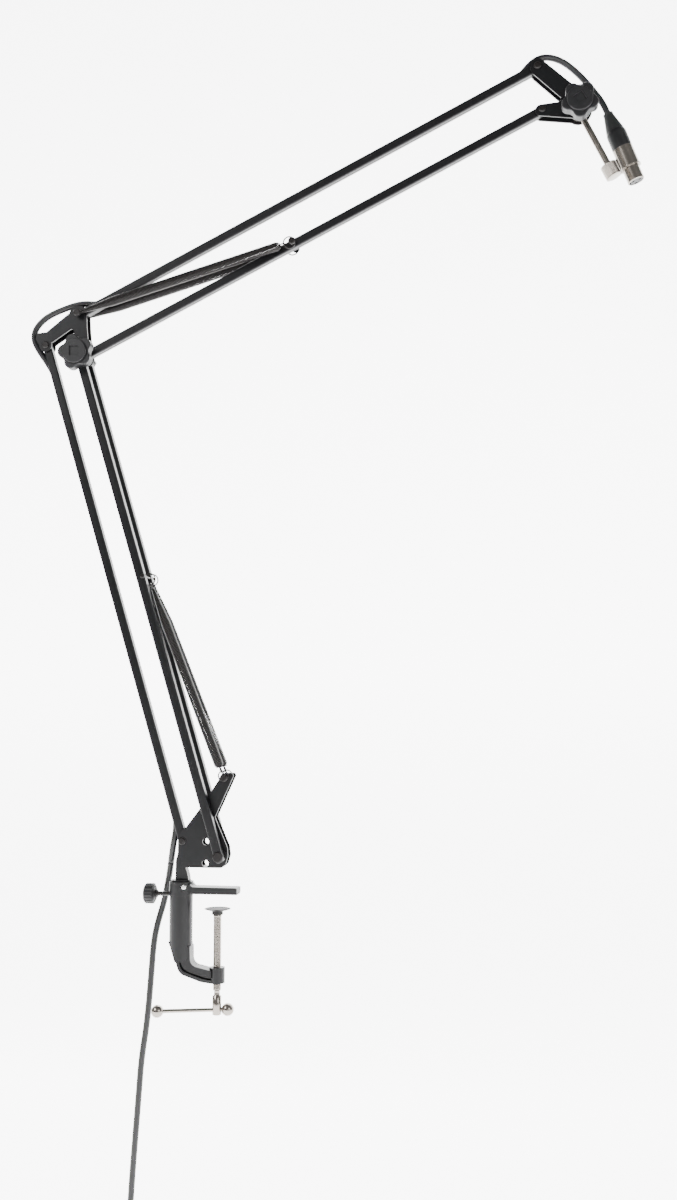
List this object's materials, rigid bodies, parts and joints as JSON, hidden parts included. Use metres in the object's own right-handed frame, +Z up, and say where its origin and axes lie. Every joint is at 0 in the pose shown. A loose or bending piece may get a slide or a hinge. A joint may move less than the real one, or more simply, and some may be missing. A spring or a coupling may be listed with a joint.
{
  "type": "desk-clamp microphone boom arm",
  "caption": "Black sprung desk-clamp microphone arm with square tubes, star knobs, a threaded mic rod and a built-in XLR cable.",
  "frame": {"origin": "underside of the upper jaw pad, straight above the clamp screw's axis, where the arm bears on the desk top", "axes": "+Z up, +X toward the jaw's reach and the arm's head, +Y away from the side that the knobs are worked from"},
  "size_m": [0.5984, 0.0577, 1.2491],
  "materials": {
    "black_paint": "satin",
    "black_cast": "satin",
    "black_zinc": "semi-gloss",
    "bright_steel": "polished",
    "nickel": "satin",
    "black_plastic": "matte",
    "nylon": "matte",
    "rubber": "matte",
    "cable_jacket": "satin",
    "brass": "satin"
  },
  "bodies": {
    "clamp": {"clamp_frame": "black_cast", "jaw_pad": "rubber", "post_liner": "black_plastic", "post_set_screw": "bright_steel", "cable_tail": "cable_jacket", "cable_coil": "cable_jacket", "coil_tie": "nylon", "plug_boot": "rubber", "plug_shell": "nickel", "plug_contacts": "brass"},
    "spigot_lock": {"lock_stud": "black_zinc", "lock_knob": "black_plastic"},
    "clamp_pad": {"pad_dish": "black_zinc", "pad_facing": "rubber"},
    "clamp_screw": {"clamp_screw": "nickel"},
    "t_bar": {"t_bar": "nickel", "t_bar_balls": "nickel"},
    "yoke": {"yoke_bracket": "black_paint", "yoke_spigot": "black_cast", "yoke_rivets": "black_zinc", "yoke_bolt": "black_zinc", "yoke_washers": "nylon", "yoke_spring_rings": "black_zinc", "cable_tail_top": "cable_jacket"},
    "rear_link": {"rear_tube": "black_paint", "cable_in_rear_tube": "cable_jacket"},
    "front_link": {"front_tube_near": "black_paint", "front_tube_far": "black_paint", "front_spring_pin": "black_zinc", "front_spring_rings": "black_zinc", "lower_springs": "black_zinc"},
    "elbow": {"elbow_bracket": "black_paint", "elbow_rivets": "black_zinc", "elbow_washers": "nylon", "cable_elbow_loop": "cable_jacket"},
    "elbow_knob": {"elbow_knob": "black_plastic", "elbow_bolt": "black_zinc", "elbow_nut": "black_zinc"},
    "top_bar": {"top_tube": "black_paint", "cable_in_top_tube": "cable_jacket"},
    "bottom_bar": {"bottom_tube": "black_paint", "bar_spring_pin": "black_zinc", "bar_spring_rings": "black_zinc", "upper_springs": "black_zinc"},
    "head": {"head_bracket": "black_paint", "head_rivets": "black_zinc", "cable_head_loop": "cable_jacket", "jack_boot": "rubber", "jack_collar": "black_plastic", "jack_shell": "nickel", "jack_insert": "black_plastic"},
    "jack_latch": {"jack_latch": "nickel"},
    "head_knob": {"head_knob": "black_plastic", "head_bolt": "black_zinc", "head_nut": "black_zinc"},
    "mic_rod": {"mic_rod": "nickel", "mic_stud": "nickel", "rod_washers": "nylon"}
  },
  "joints": [
    {"name": "clamp_travel", "type": "slide", "parent": "clamp", "child": "clamp_pad", "axis": [0, 0, 1], "range_m": [-0.046, 0.0115]},
    {"name": "screw_turn", "type": "hinge", "parent": "clamp_pad", "child": "clamp_screw", "pos_m": [0, 0, -0.02], "axis": [0, 0, 1], "range_deg": [-13260, 3320]},
    {"name": "t_bar_slide", "type": "slide", "parent": "clamp_screw", "child": "t_bar", "axis": [0.9659, 0.2588, 0], "range_m": [0, 0.0446]},
    {"name": "lock_turn", "type": "hinge", "parent": "clamp", "child": "spigot_lock", "pos_m": [-0.06, 0, -0.001], "axis": [1, 0, 0], "range_deg": [0, 360]},
    {"name": "base_swivel", "type": "hinge", "parent": "clamp", "child": "yoke", "pos_m": [-0.035, 0, 0.011], "axis": [0, 0, 1], "range_deg": [-170, 170], "deforming": ["cable_tail"]},
    {"name": "lower_tilt", "type": "hinge", "parent": "yoke", "child": "rear_link", "pos_m": [-0.0333, 0, 0.0485], "axis": [0, 1, 0], "range_deg": [-32, 9], "deforming": ["cable_tail_top"]},
    {"name": "front_link_tilt", "type": "hinge", "parent": "yoke", "child": "front_link", "pos_m": [0.0037, 0, 0.0353], "axis": [0, 1, 0], "range_deg": [-33, 10], "deforming": ["lower_springs"]},
    {"name": "elbow_level", "type": "hinge", "parent": "rear_link", "child": "elbow", "pos_m": [-0.17672, 0, 0.52958], "axis": [0, 1, 0], "range_deg": [-10, 33], "deforming": ["cable_elbow_loop"]},
    {"name": "upper_tilt", "type": "hinge", "parent": "elbow", "child": "top_bar", "pos_m": [-0.14352, 0, 0.55918], "axis": [0, 1, 0], "range_deg": [-30, 45], "deforming": ["cable_elbow_loop"]},
    {"name": "bottom_bar_tilt", "type": "hinge", "parent": "elbow", "child": "bottom_bar", "pos_m": [-0.13972, 0, 0.51638], "axis": [0, 1, 0], "range_deg": [-31, 46], "deforming": ["upper_springs"]},
    {"name": "head_level", "type": "hinge", "parent": "top_bar", "child": "head", "pos_m": [0.3055, 0, 0.77915], "axis": [0, 1, 0], "range_deg": [-46, 31], "deforming": ["cable_head_loop"]},
    {"name": "rod_tilt", "type": "hinge", "parent": "head", "child": "mic_rod", "pos_m": [0.3437, 0, 0.73435], "axis": [0, 1, 0], "range_deg": [-100, 40]},
    {"name": "elbow_knob_turn", "type": "hinge", "parent": "elbow", "child": "elbow_knob", "pos_m": [-0.13972, -0.022, 0.51638], "axis": [0, 1, 0], "range_deg": [0, 360]},
    {"name": "head_knob_turn", "type": "hinge", "parent": "head", "child": "head_knob", "pos_m": [0.3437, -0.022, 0.73435], "axis": [0, 1, 0], "range_deg": [0, 360]},
    {"name": "latch_press", "type": "slide", "parent": "head", "child": "jack_latch", "axis": [-0.9368, 0, -0.3499], "range_m": [0, 0.001], "stiffness_N_per_m": 400}
  ],
  "couplings": [
    {"joint": "screw_turn", "follows": "clamp_travel", "rad_per_m": 5026.5},
    {"joint": "front_link_tilt", "follows": "lower_tilt", "ratio": 1},
    {"joint": "elbow_level", "follows": "lower_tilt", "ratio": -1},
    {"joint": "bottom_bar_tilt", "follows": "upper_tilt", "ratio": 1},
    {"joint": "head_level", "follows": "upper_tilt", "ratio": -1}
  ]
}
